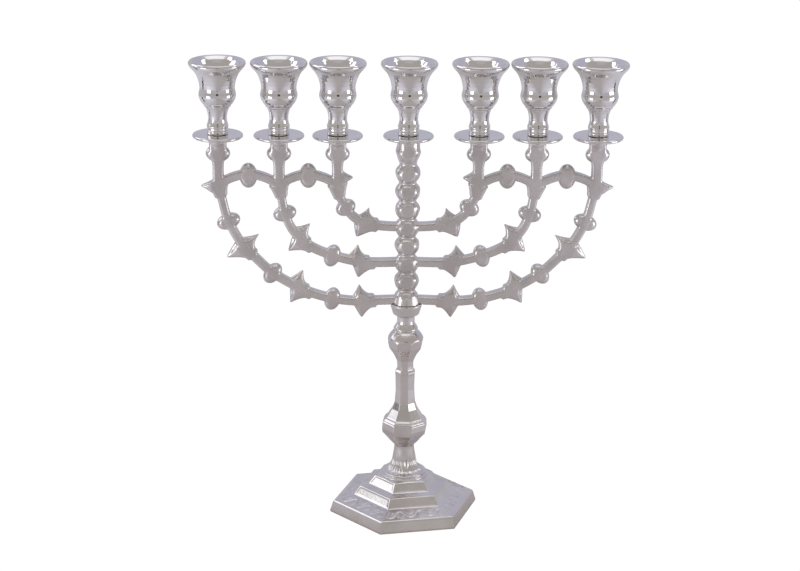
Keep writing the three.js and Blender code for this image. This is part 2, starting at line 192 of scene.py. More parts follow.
def shell(name, rows, closed):
    """A skin over rows of points that go round Z. Closed joins the last row to the first, as on a ring.
    Otherwise the first and last rows are single points on the axis."""
    count, sides = rows.shape[:2]
    points = rows.reshape(-1, 3)
    faces = []
    body_rows = range(count) if closed else range(1, count - 2)
    for i in body_rows:
        low, high = i * sides, ((i + 1) % count) * sides
        for j in range(sides):
            k = (j + 1) % sides
            faces.append((low + j, low + k, high + k, high + j))
    if not closed:
        last = (count - 1) * sides
        below = last - sides
        for j in range(sides):
            k = (j + 1) % sides
            faces.append((0, sides + k, sides + j))
            faces.append((below + j, below + k, last))
        used = sorted({v for face in faces for v in face})
        renumber = {v: n for n, v in enumerate(used)}
        points = points[used]
        faces = [tuple(renumber[v] for v in face) for face in faces]
    return object_from(name, points, faces)


def around(radii, heights, angles):
    """Rows of points from radii (rows by angles) and heights."""
    heights = np.broadcast_to(np.asarray(heights, float).reshape(-1, 1), radii.shape)
    return np.stack([radii * np.cos(angles), radii * np.sin(angles), heights], axis=-1)


def even_angles(sides):
    return np.arange(sides) / sides * TAU


def turned(name, outline, sides=96, closed=False):
    """A piece turned on a lathe. Its outline runs up the outside of the metal."""
    outline = np.asarray(outline, float)
    radii = np.repeat(outline[:, :1], sides, axis=1)
    return shell(name, around(radii, outline[:, 1], even_angles(sides)), closed)


def polygon_radius(angles, sides, turn):
    """Radius of a regular polygon, as a share of its corner radius."""
    slice_angle = TAU / sides
    from_side = (angles - turn) % slice_angle - slice_angle / 2
    return math.cos(slice_angle / 2) / np.cos(from_side)


# ------------------------------------------------------------------ materials


def nickel(name, colour, shadow, roughness, spread, grain, bump):
    """Plated metal: patches of deeper tone, roughness that wanders, and fine polishing marks in its bump."""
    material = bpy.data.materials.new(name)
    material.use_nodes = True
    nodes, links = material.node_tree.nodes, material.node_tree.links
    shader = nodes["Principled BSDF"]
    shader.inputs["Metallic"].default_value = 1
    place = nodes.new("ShaderNodeTexCoord")

    patches = nodes.new("ShaderNodeTexNoise")
    patches.inputs["Scale"].default_value = 55
    patches.inputs["Detail"].default_value = 4
    tones = nodes.new("ShaderNodeValToRGB")
    tones.color_ramp.elements[0].position = 0.35
    tones.color_ramp.elements[0].color = (*shadow, 1)
    tones.color_ramp.elements[1].position = 0.62
    tones.color_ramp.elements[1].color = (*colour, 1)

    wear = nodes.new("ShaderNodeTexNoise")
    wear.inputs["Scale"].default_value = 260
    wear.inputs["Detail"].default_value = 3
    gloss = nodes.new("ShaderNodeMapRange")
    gloss.inputs["To Min"].default_value = max(0.0, roughness - spread)
    gloss.inputs["To Max"].default_value = roughness + spread

    marks = nodes.new("ShaderNodeTexNoise")
    marks.inputs["Scale"].default_value = grain
    marks.inputs["Detail"].default_value = 2
    raised = nodes.new("ShaderNodeBump")
    raised.inputs["Strength"].default_value = bump
    raised.inputs["Distance"].default_value = 0.0004

    for texture in (patches, wear, marks):
        links.new(place.outputs["Object"], texture.inputs["Vector"])
    links.new(patches.outputs["Fac"], tones.inputs["Fac"])
    links.new(tones.outputs["Color"], shader.inputs["Base Color"])
    links.new(wear.outputs["Fac"], gloss.inputs["Value"])
    links.new(gloss.outputs["Result"], shader.inputs["Roughness"])
    links.new(marks.outputs["Fac"], raised.inputs["Height"])
    links.new(raised.outputs["Normal"], shader.inputs["Normal"])
    return material


SATIN = nickel("satin_nickel", (0.75, 0.72, 0.71), (0.66, 0.63, 0.62), 0.22, 0.07, 600, 0.1)
CAST = nickel("cast_nickel", (0.74, 0.71, 0.7), (0.62, 0.59, 0.58), 0.27, 0.09, 300, 0.18)
POLISHED = nickel("polished_nickel", (0.78, 0.765, 0.76), (0.73, 0.715, 0.71), 0.06, 0.03, 500, 0.02)
BRASS = nickel("bare_brass", (0.72, 0.56, 0.3), (0.55, 0.4, 0.2), 0.3, 0.06, 900, 0.2)
ZINC = nickel("zinc_steel", (0.62, 0.63, 0.66), (0.5, 0.51, 0.54), 0.34, 0.08, 900, 0.25)


def finish_piece(piece, material, body, node, at=(0, 0, 0)):
    """Puts a piece in place, on its body, standing for its CAD node."""
    piece.location = Vector(at) * MM
    piece.data.materials.append(material)
    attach(piece, body)
    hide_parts(node)
    return piece


# ------------------------------------------------------------------ base


def base_angles(per_side=80):
    """Angles that space points evenly along the six sides, with one at each corner."""
    angles = []
    for side in range(6):
        for k in range(per_side):
            along = -1 + 2 * k / per_side
            angles.append(BASE_TURN + (side + 0.5) * TAU / 6 + math.atan(along * math.tan(TAU / 12)))
    return np.array(angles)


def base_outline():
    """Radius, height and how six-sided the foot is, from the rim of the rod's hole down the outside."""
    joint = ROD_HOLE + 3.05

    def rise(share):
        return FLARE_FOOT + share * (BASE_HEIGHT - FLARE_FOOT)

    turned_part = [
        (joint, BASE_HEIGHT), (joint, rise(0.91)), (joint + 0.3, rise(0.75)), (joint + 0.8, rise(0.54)),
        (joint + 1.2, rise(0.34)), (joint + 2, rise(0.19)), (joint + 2.9, rise(0.09)), (joint + 4, 28.5),
        (joint + 5.3, 27.5), (joint + 7, 26.7), (14.4, 26.2), (14.4, 25.6), (14.1, 25.2), (15.6, 24.7),
        (15.6, 23.9),
    ]
    six_sided = [
        (BASE_RADIUS - 30.1, HIGH_RISER[1]), (BASE_RADIUS - 25.7, HIGH_RISER[0]),
        (BASE_RADIUS - 20, LOW_RISER[1]), (BASE_RADIUS - 15.9, LOW_RISER[0]),
        (BASE_RADIUS - 2.9, PLATE_TOP), (BASE_RADIUS - 2, 7.1), (BASE_RADIUS, 1), (BASE_RADIUS - 0.3, 0),
    ]
    rows = [(radius, z, 0.0) for radius, z in eased(turned_part, 0.4, 2)]
    rows += [(radius, z, 1.0) for radius, z in eased(six_sided, 0.5, 1)]
    return rows


def chased_border(along, across):
    """Height of the scroll on the top border: a wandering stem with veined leaves in its bends. Along is in
    millimetres, across is a share of the border's width from its middle."""
    wave, line_width = 13.0, 0.75
    leaf_length, leaf_width = 2.1, 2.6
    stem = 0.26 * np.sin(along * TAU / wave)
    line = np.exp(-(((across - stem) * BORDER_WIDTH / line_width) ** 2))
    phase = (along / wave) % 0.5 - 0.25
    side = np.sign(np.sin(along * TAU / wave))
    leaf_along = phase * wave / leaf_length
    leaf_across = (across + side * 0.16) * BORDER_WIDTH / leaf_width
    leaf = np.exp(-(leaf_along**2 + leaf_across**2) ** 2)
    veins = 0.5 + 0.5 * np.cos((leaf_along * 1.4 + leaf_across) * 5)
    return 0.5 * line + 0.5 * leaf * (0.4 + 0.6 * veins)


def build_base():
    angles = base_angles()
    outline = np.array(base_outline())
    radius, height, six = outline[:, 0:1], outline[:, 1:2], outline[:, 2:3]
    hexagon = polygon_radius(angles, 6, BASE_TURN)[None, :]
    shape = 1 + six * (hexagon - 1)
    radii = radius * shape
    heights = np.repeat(height, len(angles), axis=1)

    # Places on the sloping faces: millimetres along a side from its middle, and shares across a face.
    from_middle = (angles - BASE_TURN) % (TAU / 6) - TAU / 12
    along = radius * math.cos(TAU / 12) * np.tan(from_middle)[None, :]
    half_side = radius / 2

    # Sunk panels on the two risers, each in a raised frame.
    for low, high in (LOW_RISER, HIGH_RISER):
        across = (height - low) / (high - low)
        inside = smooth_step(0.08, 0.17, across) * smooth_step(0.08, 0.17, 1 - across)
        inside = inside * smooth_step(0.9, 1.6, half_side - np.abs(along)) * six
        radii = radii - PANEL_DEPTH * inside

    # The chased scroll on the border.
    across = ((height - PLATE_TOP) / BORDER_RISE) * 2 - 1
    on_border = six * smooth_step(-0.96, -0.7, across) * smooth_step(-0.96, -0.7, -across)
    on_border = on_border * (height < LOW_RISER[0] + 0.1)
    on_border = on_border * smooth_step(1.0, 3.0, half_side - np.abs(along))
    heights = heights + chased_border(along, across * 0.5) * on_border

    # Leaf cuts round the flare, deepest low down.
    on_flare = (1 - six) * smooth_step(26.6, 27.6, height) * (1 - smooth_step(33, 41, height))
    strokes = 0.6 * np.abs(np.cos(angles * 8)) ** 0.7
    strokes = strokes + 0.25 * np.cos(angles * 34) + 0.1 * np.cos(angles * 21)
    radii = radii - LEAF_CUT_DEPTH * on_flare * (0.6 - strokes)[None, :]

    outside = np.stack([radii * np.cos(angles), radii * np.sin(angles), heights], axis=-1)

    hole = ROD_HOLE * 1.02
    inside = BASE_RADIUS - BASE_WALL
    hollow = [
        (inside, 0, 1), (inside - 1.6, 4.6, 1), (inside - 14.5, 7.3, 1), (inside - 18.7, 13.3, 1),
        (inside - 24.5, CEILING, 1), (hole + 4, CEILING, 0), (hole, CEILING, 0), (hole, BASE_HEIGHT, 0),
    ]
    inner_rows = []
    for r, z, hexness in fine(hollow, 2.5):
        ring = r * (1 + hexness * (hexagon[0] - 1))
        inner_rows.append(around(ring[None, :], z, angles)[0])
    rows = np.concatenate([outside, np.array(inner_rows)])[::-1]
    piece = shell("base_casting", rows, closed=True)
    return finish_piece(piece, SATIN, "base", "base")


# ------------------------------------------------------------------ stem


def build_stem():
    """Turned and cut eight-sided: at each height and angle the surface is the nearer of the two shapes."""
    neck = ROD_HOLE + 2.05
    joint = neck + 1
    rows = 520

    def down(distance):
        return STEM_LENGTH - distance

    round_outline = [
        (joint, 0), (joint + 2, 1.9), (18, 12), (18, down(35.5)), (11.9, down(24)), (11.6, down(22.4)),
        (11, down(20.9)), (10.1, down(19.4)), (9, down(18)), (7.7, down(16.8)), (7.6, down(16.3)),
        (7.9, down(15.9)), (7.8, down(15.2)), (7.3, down(14.2)), (6.7, down(13.2)),
        (neck + 0.5, down(12)), (neck + 0.2, down(9.9)), (neck + 0.3, down(7.3)), (neck + 0.7, down(6.4)),
        (8.1, down(5.8)), (8.5, down(5.2)), (9.3, down(2.5)), (10, down(0.3)), (10.2, down(-0.8)),
        (9.8, down(-SEAM_RISE)),
    ]
    cut_outline = [
        (joint + 1.6, 0), (joint + 2.2, 1.9), (12.3, 6.6), (14.9, 9.4), (15.3, 12), (15, 16.2),
        (14.4, 16.7), (14.2, 17.4), (13.6, 17.8), (13.4, 18.4), (12.6, 18.8), (12, 19.3), (8.4, 25.1),
        (neck + 1.5, 29.5), (neck + 0.9, 39), (neck + 1.2, down(46.9)),
        (neck + 1.4, down(45)), (neck + 0.2, down(43.5)), (neck, down(41)), (neck + 0.3, down(37.3)),
        (7.9, down(32.6)), (11, down(28.1)), (12, down(23.4)), (14, down(15.5)), (14, down(-SEAM_RISE)),
    ]
    heights = np.linspace(0, STEM_LENGTH + SEAM_RISE, rows)
    kernel = np.array([1, 4, 6, 4, 1]) / 16

    def radius_at(outline):
        radii = np.interp(heights, [z for _, z in outline], [r for r, _ in outline])
        padded = np.pad(radii, 2, mode="edge")
        return np.convolve(padded, kernel, mode="valid")

    angles = even_angles(160)
    eight = polygon_radius(angles, 8, math.radians(22.5) + STEM_TURN)
    round_radii = np.repeat(radius_at(round_outline)[:, None], len(angles), axis=1)
    radii = soft_min(round_radii, radius_at(cut_outline)[:, None] * eight, 0.3)
    outside = around(radii, heights, angles)
    hole = np.full((2, len(angles)), ROD_HOLE)
    inside = around(hole, [STEM_LENGTH + SEAM_RISE, 0], angles)
    piece = shell("stem_casting", np.concatenate([outside, inside]), closed=True)
    return finish_piece(piece, SATIN, "stem", "stem", (0, 0, STEM_LOW))


# ------------------------------------------------------------------ beaded shaft


def build_shaft():
    outline = [(0, SHAFT_FOOT_RADIUS)]
    for bead in range(SHAFT_BEADS):
        middle = (bead + (0.55 if bead == SHAFT_BEADS - 1 else 0.37)) * BEAD_PITCH
        if bead > 0:
            outline.append(((bead - 0.13) * BEAD_PITCH, BEAD_NECK))
            outline.append((middle - 0.24 * BEAD_PITCH, BEAD_RADIUS - 0.8))
        outline.append((middle + 0.02 * BEAD_PITCH, BEAD_RADIUS))
        outline.append((middle + 0.25 * BEAD_PITCH, BEAD_RADIUS - 0.5))
    outline.append((SHAFT_LENGTH, BEAD_NECK + 1.2))
    curve = catmull(outline, 12)
    rows, sides = 360, 128
    heights = np.linspace(SEAM_RISE, SHAFT_LENGTH, rows)
    order = np.argsort(curve[:, 0])
    radii = np.interp(heights, curve[order, 0], curve[order, 1])[:, None]
    angles = even_angles(sides)
    # Hand filing leaves the beads a little uneven.
    uneven = 0.12 * np.sin(3 * angles[None, :] + heights[:, None] * 0.9)
    uneven = uneven * smooth_step(BEAD_PITCH * 0.5, BEAD_PITCH, heights)[:, None]
    flats = BEAD_FLAT / np.maximum(np.abs(np.sin(angles)), 1e-3)
    round_radii = radii + uneven
    flat_radii = np.repeat(flats[None, :], rows, axis=0)
    # The boss at the foot stays round.
    flat_radii = flat_radii + 4 * (1 - smooth_step(3, 7, heights))[:, None]
    outside = around(soft_min(round_radii, flat_radii, 0.35), heights, angles)
    stud_end = SHAFT_LENGTH - POST_HOLE_DEPTH
    low = around(np.full((2, sides), ROD_HOLE), [ROD_HOLE_DEPTH, SEAM_RISE], angles)
    high = around(np.full((2, sides), STUD_HOLE), [SHAFT_LENGTH, stud_end], angles)
    foot = np.zeros((1, sides, 3)) + [0, 0, ROD_HOLE_DEPTH]
    head = np.zeros((1, sides, 3)) + [0, 0, stud_end]
    piece = shell("beaded_shaft", np.concatenate([foot, low, outside, high, head]), closed=False)
    return finish_piece(piece, CAST, "branches", "branch_frame", (0, 0, FRAME_LOW))


# ------------------------------------------------------------------ branches

# From the inner branch out. The root is where a branch leaves the shaft, in beads, and the outline is its
# centreline, in shares of its reach and rise. Bells and lobes sit at shares of its length. A bell also has
# its half-width and how far its upper tip leads, and a lobe its half-width. The bell at the post has its
# drop below the junction and how far its tip stands out on each side, where 1 is towards the shaft.
BRANCHES = [
    {
        "reach": REACHES[0], "root": 4.45,
        "outline": [(0, 0), (0.2, -0.01), (0.41, 0.015), (0.63, 0.09), (0.79, 0.255), (0.89, 0.48),
                    (0.97, 0.74), (1, 1)],
        "bells": [(0.475, 10.4, 0)], "lobes": [(0.737, 6.6)], "tip_drop": -4.1, "tip_reach": {1: 9.8},
    },
    {
        "reach": REACHES[1], "root": 2.45,
        "outline": [(0, 0), (0.24, -0.01), (0.37, 0), (0.58, 0.08), (0.745, 0.19), (0.84, 0.31),
                    (0.91, 0.45), (0.96, 0.65), (0.985, 0.86), (1, 1)],
        "bells": [(0.283, 10.7, 1.9), (0.658, 11.3, 1.7)], "lobes": [(0.44, 7.5), (0.829, 7.5)],
        "tip_drop": 2, "tip_reach": {},
    },
    {
        "reach": REACHES[2], "root": 0.32,
        "outline": [(0, 0), (0.17, -0.01), (0.27, -0.015), (0.39, 0.006), (0.52, 0.063), (0.61, 0.13),
                    (0.725, 0.243), (0.81, 0.37), (0.875, 0.475), (0.952, 0.7), (0.981, 0.87), (1, 1)],
        "bells": [(0.184, 11.1, 0.7), (0.45, 11.5, 1.5), (0.724, 12.9, 0)],
        "lobes": [(0.299, 7.6), (0.565, 7.4), (0.845, 7.7)], "tip_drop": 1.6, "tip_reach": {-1: 11},
    },
]
CELL = 0.5  # of the grid that the branches are shaped on
COLLAR_HALF_WIDTH = 4.25
SOFTEN = (0.25, 0.5, 0.25)  # eases the steps in a band's widths
MOUTH_LENGTH = 2.2  # how far a bell's mouth runs back to the arm, on its face
RIM_LENGTH = 4.6  # and at the mid-plane, where the thin rim stands out
RIM_HALF_DEPTH = 1.7
LOBE_HALF_LENGTH = 5.2  # along the arm
LOBE_HALF_DEPTH = 4.5  # before its front and back are ground flat
LINK_CROWN = 6.6  # rise of a linking arc above the junctions
POST_SUNK = 5  # how far a post's band starts below its junction
POST_LOBE_BELOW = 10.2  # from the post's top
COLLAR_CLEARANCE = 10.7  # from the axis, in the underside of the arms' roots


def bell_width(distance, tips, reach, mouth_length):
    """Half-width of a bell: a collar, a flare out to two blunt tips, and a hollow mouth back to the arm."""
    u = distance - tips
    collar = np.where((u > -9.3) & (u < -6.2), COLLAR_HALF_WIDTH, 0)
    flare = 3.8 + (reach - 3.8) * np.clip((u + 8.2) / 8.2, 0, 1) ** 2
    shut = np.clip(1 - (u - 0.5) / mouth_length, 0, 1) ** 1.1
    mouth = ARM_HALF_WIDTH + (reach - ARM_HALF_WIDTH) * shut
    body = np.where((u >= -8.2) & (u <= 0.5), flare, np.where((u > 0.5) & (shut > 0), mouth, 0))
    return np.maximum(collar, body)


def directions(line):
    along = np.gradient(line, axis=0)
    return along / np.linalg.norm(along, axis=1)[:, None]


def strip(line, width_of):
    """The outline of a band along a line, as a polygon. Each side has its own widths."""
    steps = np.linalg.norm(np.diff(line, axis=0), axis=1)
    distance = np.concatenate([[0], np.cumsum(steps)])
    even = np.linspace(0, distance[-1], max(8, int(distance[-1] / 0.45)))
    centre = np.stack([np.interp(even, distance, line[:, k]) for k in (0, 1)], axis=-1)
    along = directions(centre)
    across = np.stack([-along[:, 1], along[:, 0]], axis=-1)

    def eased_width(side):
        widths = np.pad(width_of(even, distance[-1], side), 1, mode="edge")
        return np.convolve(widths, SOFTEN, "valid")[:, None]

    left, right = eased_width(1), eased_width(-1)
    return np.concatenate([centre + across * left, (centre - across * right)[::-1]]), centre


def polygon_distance(x, z, polygon):
    """Signed distance to a polygon in the plane, negative inside."""
    nearest = np.full(x.shape, 1e9)
    inside = np.zeros(x.shape, bool)
    for (x0, z0), (x1, z1) in zip(polygon, np.roll(polygon, -1, axis=0)):
        ex, ez = x1 - x0, z1 - z0
        wx, wz = x - x0, z - z0
        share = np.clip((wx * ex + wz * ez) / max(ex * ex + ez * ez, 1e-12), 0, 1)
        nearest = np.minimum(nearest, (wx - ex * share) ** 2 + (wz - ez * share) ** 2)
        if z0 != z1:
            crosses = ((z0 > z) != (z1 > z)) & (x < x0 + ex * (z - z0) / ez)
            inside ^= crosses
    return np.sqrt(nearest) * np.where(inside, -1, 1)


def line_distance(x, z, line):
    nearest = np.full(x.shape, 1e9)
    for px, pz in line[::3]:
        nearest = np.minimum(nearest, (x - px) ** 2 + (z - pz) ** 2)
    return np.sqrt(nearest)


def link_width(distance, _length, _side):
    return np.full(distance.shape, float(ARM_HALF_WIDTH))


def branch_bands(mouth_length):
    """Every band on the +X side, arms, posts and linking arcs, and every lobe: its middle, the way the arm
    runs there, and its half-lengths across and along the arm."""
    bands = []
    lobes = []
    for branch in BRANCHES:
        root = FRAME_LOW + branch["root"] * BEAD_PITCH
        rise = JUNCTION - root
        outline = [(out * branch["reach"], root + up * rise) for out, up in branch["outline"]]
        line = catmull(outline, 16)

        def arm_width(distance, length, side, branch=branch):
            width = np.full(distance.shape, float(ARM_HALF_WIDTH))
            for at, reach, lean in branch["bells"]:
                tips = at * length + side * lean
                width = np.maximum(width, bell_width(distance, tips, reach, mouth_length))
            to_junction = distance - length
            flare = 3.9 + 2.6 * np.clip((to_junction + 9) / 9, 0, 1) ** 1.6
            return np.maximum(width, np.where(to_junction > -8.5, flare, 0))

        polygon, centre = strip(line, arm_width)
        bands.append((polygon, centre))
        heading = directions(centre)
        for at, reach in branch["lobes"]:
            k = int(at * (len(centre) - 1))
            lobes.append((centre[k] - [0, 0.4], heading[k], reach, LOBE_HALF_LENGTH))
        post_foot = JUNCTION - POST_SUNK
        post_line = np.array([[branch["reach"], post_foot], [branch["reach"], POST_TOP - 1]])

        def post_width(distance, _length, side, branch=branch, post_foot=post_foot):
            z = post_foot + distance
            u = z - (JUNCTION - branch["tip_drop"])
            reach = branch["tip_reach"].get(side, POST_HALF_WIDTH)
            flare = POST_HALF_WIDTH + (reach - POST_HALF_WIDTH) * np.clip((u + 6) / 6, 0, 1) ** 2
            mouth = POST_HALF_WIDTH + (reach - POST_HALF_WIDTH) * np.clip(1 - (u - 0.8) / 3.4, 0, 1) ** 1.25
            bell = np.where((u > -6) & (u <= 0.8), flare, np.where((u > 0.8) & (u < 4.2), mouth, 0))
            head = POST_HALF_WIDTH + 2 * smooth_step(POST_TOP - 19, POST_TOP - 6, z)
            return np.maximum(head, bell)

        bands.append(strip(post_line, post_width))
        lobe_middle = np.array([branch["reach"], POST_TOP - POST_LOBE_BELOW])
        lobes.append((lobe_middle, np.array([0.0, 1.0]), 7.7, 5.6))
    for start, end in zip(REACHES[:-1], REACHES[1:]):
        middle = (start + end) / 2
        shoulder = JUNCTION + LINK_CROWN * 0.7
        outline = [
            (start, JUNCTION), ((start + middle) / 2, shoulder), (middle, JUNCTION + LINK_CROWN),
            ((middle + end) / 2, shoulder), (end, JUNCTION),
        ]
        polygon, centre = strip(catmull(outline, 16), link_width)
        bands.append((polygon, centre))
        crown = centre[len(centre) // 2]
        lobes.append((crown - [0, 1], np.array([1.0, 0.0]), 8.1, 5.7))
    return bands, lobes


def build_branches():
    """The flat casting, shaped as a field of distances so that its edges and joins come out rounded."""
    low_z, high_z = float(span("branch_frame")[0][2]) - 3, POST_TOP + 2
    reach_cells = int((REACHES[2] + 16) / CELL)
    xs = np.arange(0, reach_cells + 1) * CELL
    zs = np.arange(low_z, high_z, CELL)
    depth_cells = int((FRAME_DEPTH / 2 + 4) / CELL)
    ys = np.arange(-depth_cells, depth_cells + 1) * CELL
    x, z = np.meshgrid(xs, zs, indexing="ij")
    field = None
    for mouth_length, face_depth in ((MOUTH_LENGTH, FRAME_DEPTH / 2), (RIM_LENGTH, RIM_HALF_DEPTH)):
        bands, lobes = branch_bands(mouth_length)
        plane = np.full(x.shape, 50.0)
        core = np.full(x.shape, 50.0)
        for polygon, centre in bands:
            plane = soft_min(plane, polygon_distance(x, z, polygon), 0.9)
            core = np.minimum(core, line_distance(x, z, centre))
        # Bells thin towards their tips.
        half_depth = face_depth - (face_depth - 1.2) * np.clip((core - 4.2) / 7.5, 0, 1) ** 1.2
        edge = np.minimum(EDGE_ROUND, 0.8 * half_depth)[:, None, :]
        flat = plane[:, None, :] + edge
        deep = np.abs(ys)[None, :, None] - half_depth[:, None, :] + edge
        layer = np.minimum(np.maximum(flat, deep), 0)
        layer = layer + np.sqrt(np.maximum(flat, 0) ** 2 + np.maximum(deep, 0) ** 2) - edge
        field = layer if field is None else soft_min(field, layer, 0.4)

    gx, gy, gz = np.meshgrid(xs, ys, zs, indexing="ij")
    for (mx, mz), (ax, az), across_half, along_half in lobes:
        dx, dz = gx - mx, gz - mz
        along, across = dx * ax + dz * az, dz * ax - dx * az
        in_plane = (along / along_half) ** 2 + (across / across_half) ** 2
        size = np.sqrt(in_plane + (gy / LOBE_HALF_DEPTH) ** 2)
        ball = (size - 1) * along_half
        field = soft_min(field, np.maximum(ball, np.abs(gy) - FRAME_DEPTH / 2), 0.5)
    for reach in REACHES:
        from_axis = np.hypot(gx - reach, gy)
        below = POST_TOP - gz
        boss_radius = 5.5 - 1.5 * smooth_step(2.5, 6, below)
        boss = np.maximum(from_axis - boss_radius, np.maximum(-below, below - 6.5))
        field = soft_min(field, boss, 0.5)
        hole = np.maximum(from_axis - STUD_HOLE, below - POST_HOLE_DEPTH)
        field = np.maximum(field, -hole)
    # The arms start inside the shaft's skin and leave the rod's hole clear.
    field = np.maximum(field, 5.2 - gx)
    # The stem's collar turns under their roots.
    collar = np.maximum(np.hypot(gx, gy) - COLLAR_CLEARANCE, gz - FRAME_LOW - SEAM_RISE)
    field = np.maximum(field, -collar)

    whole = np.concatenate([field[:0:-1], field], axis=0).astype(np.float32)
    grid = openvdb.FloatGrid(4.0)
    grid.copyFromArray(np.ascontiguousarray(whole))
    points, triangles, quads = grid.convertToPolygons(isovalue=0.0, adaptivity=0.0)
    points = points * CELL + [-reach_cells * CELL, ys[0], low_z]
    faces = [tuple(int(v) for v in face) for face in (*triangles, *quads)]
    corners = points[[face[:3] for face in faces]]
    volume = np.einsum("ij,ij->i", corners[:, 0], np.cross(corners[:, 1], corners[:, 2])).sum()
    if volume < 0:
        faces = [face[::-1] for face in faces]
    piece = object_from("branches_casting", points, faces)
    return finish_piece(piece, CAST, "branches", "branch_frame")


# ------------------------------------------------------------------ pans and cups


def build_pan(number):
    thick = PAN_TOP - PAN_BOTTOM
    outline = [
        (STUD_HOLE, 0), (PAN_RADIUS - 0.7, 0), (PAN_RADIUS, 0.7), (PAN_RADIUS, thick - 0.7),
        (PAN_RADIUS - 0.5, thick), (STUD_HOLE, thick),
    ]
    piece = turned(f"pan_{number}", eased(outline, 0.3, 2), sides=128, closed=True)
    at = (POSTS[number], 0, PAN_BOTTOM)
    return finish_piece(piece, POLISHED, f"pan_{number}", f"drip_pan_{number}", at)


def cup_outline():
    """From the blind end of the stud's hole, down and out, up the outside and down the bore."""
    outside = [
        (CUP_FOOT_RADIUS, 0.3), (CUP_FOOT_RADIUS, 2.0), (CUP_FOOT_RADIUS - 0.3, 2.2), (CUP_FOOT_RADIUS, 2.4),
        (CUP_FOOT_RADIUS, 4.2), (CUP_FOOT_RADIUS - 0.25, 4.45), (CUP_FOOT_RADIUS + 0.25, 4.9),
        (CUP_FOOT_RADIUS + 0.1, 5.5), (6.15, 7.2), (5.78, 9.5), (5.95, 12), (6.5, 14.6), (7.2, 16.4),
    ]
    bowl = [
        (7.5, 17.1), (8.35, 17.5), (8.35, 18.1), (8.6, 18.5), (9.7, 19.8), (10.9, 21.8), (11.5, 23.5),
        (11.7, 24.9), (11.5, 26.4), (11.08, 27.9), (10.95, 29.8), (11.3, 32.4), (12.1, 35.3),
        (13.3, 38.1), (14.6, 40.1), (16.1, 41.7), (17.3, 43.1), (CUP_RIM_RADIUS, 44.5),
        (CUP_RIM_RADIUS, 45.3), (17.4, 46.2), (16.7, 46.5),
    ]
    mouth = [
        (15.4, 45.9), (13.8, 44.3), (12.2, 41.9), (CUP_BORE_RADIUS + 0.5, 38.8), (CUP_BORE_RADIUS, 35.5),
        (CUP_BORE_RADIUS, CUP_SEAT + 4.6), (CUP_BORE_RADIUS * 0.67, CUP_SEAT), (0, CUP_SEAT),
    ]
    drilled = [
        (0, CUP_HOLE_DEPTH), (STUD_HOLE, CUP_HOLE_DEPTH), (STUD_HOLE, 0), (CUP_FOOT_RADIUS - 0.3, 0),
    ]
    smooth = eased(fine(outside + bowl + mouth[:-1], 0.6), 0.35, 2)
    return drilled + [tuple(point) for point in smooth] + [mouth[-1]]


def build_cup(number):
    piece = turned(f"cup_{number}", cup_outline(), sides=128)
    at = (POSTS[number], 0, CUP_BOTTOM)
    return finish_piece(piece, POLISHED, f"cup_{number}", f"candle_cup_{number}", at)


# ------------------------------------------------------------------ screws


def threaded(name, radius, pitch, length, sides=32):
    """A rod with a right-hand thread, its ends chamfered."""
    heights = np.linspace(0, length, int(length / pitch * 8))
    angles = even_angles(sides)
    turn = (heights[:, None] / pitch - angles[None, :] / TAU) % 1
    crest = 1 - np.abs(turn - 0.5) * 2
    from_end = np.minimum(heights, length - heights)[:, None]
    radii = radius - 0.6 * pitch * crest
    radii = np.minimum(radii, radius - 0.7 * pitch + from_end)
    skin = around(radii, heights, angles)
    foot = np.zeros((1, sides, 3))
    head = foot + [0, 0, length]
    return shell(name, np.concatenate([foot, skin, head]), closed=False)


def build_stud(number):
    low, high = span(f"cup_stud_{number}")
    piece = threaded(f"stud_{number}", STUD_RADIUS, STUD_PITCH, float(high[2] - low[2]))
    at = (POSTS[number], 0, low[2])
    return finish_piece(piece, BRASS, f"cup_{number}", f"cup_stud_{number}", at)


def build_rod():
    low, high = span("tie_rod")
    piece = threaded("rod", ROD_RADIUS, ROD_PITCH, float(high[2] - low[2]))
    return finish_piece(piece, ZINC, "branches", "tie_rod", (0, 0, low[2]))


def build_washer():
    low, high = span("base_washer")
    thick = float(high[2] - low[2])
    outline = [
        (ROD_HOLE, 0), (WASHER_RADIUS - 0.2, 0), (WASHER_RADIUS, 0.2), (WASHER_RADIUS, thick - 0.2),
        (WASHER_RADIUS - 0.2, thick), (ROD_HOLE, thick),
    ]
    piece = turned("washer", eased(outline, 0.3, 1), sides=72, closed=True)
    return finish_piece(piece, ZINC, "washer", "base_washer", (0, 0, low[2]))


def build_nut():
    low, high = span("base_nut")
    thick = float(high[2] - low[2])
    rows, sides = 24, 144
    angles = even_angles(sides)
    heights = np.linspace(0, thick, rows)
    corner = NUT_HALF_FLATS / math.cos(TAU / 12)
    six = corner * polygon_radius(angles, 6, 0)[None, :]
    from_end = np.minimum(heights, thick - heights)[:, None]
    cone = NUT_HALF_FLATS - 0.1 + from_end * 1.7
    outside = around(np.minimum(six, cone), heights, angles)
    inside = around(np.full((2, sides), ROD_HOLE), [thick, 0], angles)
    piece = shell("nut", np.concatenate([outside, inside]), closed=True)
    return finish_piece(piece, ZINC, "nut", "base_nut", (0, 0, low[2]))


# ------------------------------------------------------------------ studio

WHITE_STRENGTH = 1.02  # of the floor and background, as the camera sees them

